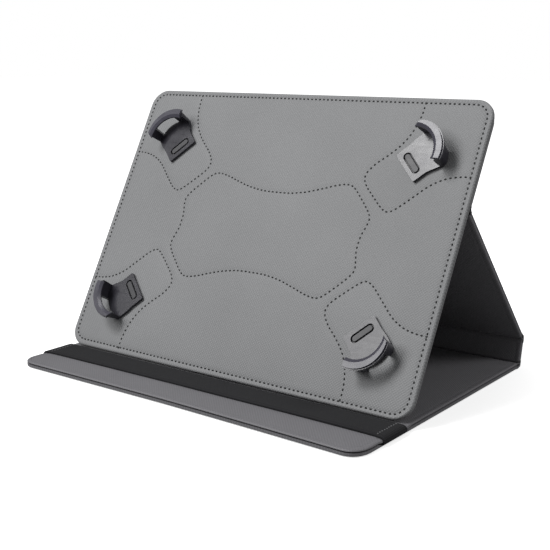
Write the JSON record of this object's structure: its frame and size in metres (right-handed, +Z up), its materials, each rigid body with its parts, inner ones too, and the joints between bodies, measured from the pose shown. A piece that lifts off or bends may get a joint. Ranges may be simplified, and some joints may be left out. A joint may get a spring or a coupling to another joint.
{
  "type": "tablet keyboard case",
  "caption": "Folding stand case for a 10 inch tablet: flat front cover, spine, two-part back as a prop, and a holder panel with spring-loaded corner hooks.",
  "frame": {"origin": "middle of the footprint, on the table the front cover lies on", "axes": "+X along the case's long side, +Y from the front edge towards the spine, +Z up from the table"},
  "size_m": [0.2676, 0.1962, 0.1743],
  "materials": {
    "face_leatherette": "satin",
    "lining_leatherette": "satin",
    "outer_leatherette": "satin",
    "greyboard": "matte",
    "strap_elastic": "matte",
    "clip_plastic": "satin",
    "stud_plastic": "matte",
    "elastic_webbing": "matte"
  },
  "bodies": {
    "front_cover": {"front_outer_skin": "outer_leatherette", "front_board": "greyboard", "front_lining": "lining_leatherette", "closing_strap": "strap_elastic"},
    "spine": {"spine_outer_skin": "outer_leatherette", "spine_board": "greyboard", "spine_lining": "lining_leatherette", "front_groove_skin": "outer_leatherette", "front_groove_lining": "lining_leatherette"},
    "back": {"back_outer_skin": "outer_leatherette", "back_board": "greyboard", "back_lining": "lining_leatherette", "rear_groove_skin": "outer_leatherette", "rear_groove_lining": "lining_leatherette"},
    "holder": {"holder_face": "face_leatherette", "holder_board": "greyboard", "holder_back_lining": "lining_leatherette", "upper_back_board": "greyboard", "upper_back_skin": "outer_leatherette", "top_fold_skin": "outer_leatherette", "elastic_top_left": "elastic_webbing", "elastic_top_right": "elastic_webbing", "elastic_bottom_left": "elastic_webbing", "elastic_bottom_right": "elastic_webbing"},
    "clip_top_left": {"clip_top_left": "clip_plastic", "stud_top_left": "stud_plastic"},
    "clip_top_right": {"clip_top_right": "clip_plastic", "stud_top_right": "stud_plastic"},
    "clip_bottom_left": {"clip_bottom_left": "clip_plastic", "stud_bottom_left": "stud_plastic"},
    "clip_bottom_right": {"clip_bottom_right": "clip_plastic", "stud_bottom_right": "stud_plastic"}
  },
  "joints": [
    {"name": "spine_fold", "type": "hinge", "parent": "front_cover", "child": "spine", "pos_m": [0, 0.09288, 0.00175], "axis": [1, 0, 0], "range_deg": [-78, 0], "deforming": ["front_groove_skin", "front_groove_lining"]},
    {"name": "back_fold", "type": "hinge", "parent": "spine", "child": "back", "pos_m": [0, 0.09659, 0.01916], "axis": [1, 0, 0], "range_deg": [-54, 0], "deforming": ["rear_groove_skin", "rear_groove_lining"]},
    {"name": "holder_fold", "type": "hinge", "parent": "back", "child": "holder", "pos_m": [0, 0.00955, 0.1129], "axis": [1, 0, 0], "range_deg": [0, 71], "deforming": ["top_fold_skin"]},
    {"name": "top_left_clip_slide", "type": "slide", "parent": "holder", "child": "clip_top_left", "axis": [-0.7071, 0.3428, 0.6184], "range_m": [0, 0.01], "stiffness_N_per_m": 200, "springref_m": -0.008, "deforming": ["elastic_top_left"]},
    {"name": "top_right_clip_slide", "type": "slide", "parent": "holder", "child": "clip_top_right", "axis": [0.7071, 0.3428, 0.6184], "range_m": [0, 0.01], "stiffness_N_per_m": 200, "springref_m": -0.008, "deforming": ["elastic_top_right"]},
    {"name": "bottom_left_clip_slide", "type": "slide", "parent": "holder", "child": "clip_bottom_left", "axis": [-0.7071, -0.3428, -0.6184], "range_m": [0, 0.01], "stiffness_N_per_m": 200, "springref_m": -0.008, "deforming": ["elastic_bottom_left"]},
    {"name": "bottom_right_clip_slide", "type": "slide", "parent": "holder", "child": "clip_bottom_right", "axis": [0.7071, -0.3428, -0.6184], "range_m": [0, 0.01], "stiffness_N_per_m": 200, "springref_m": -0.008, "deforming": ["elastic_bottom_right"]}
  ],
  "couplings": [
    {"joint": "holder_fold", "follows": "back_fold", "ratio": -1.3148}
  ]
}
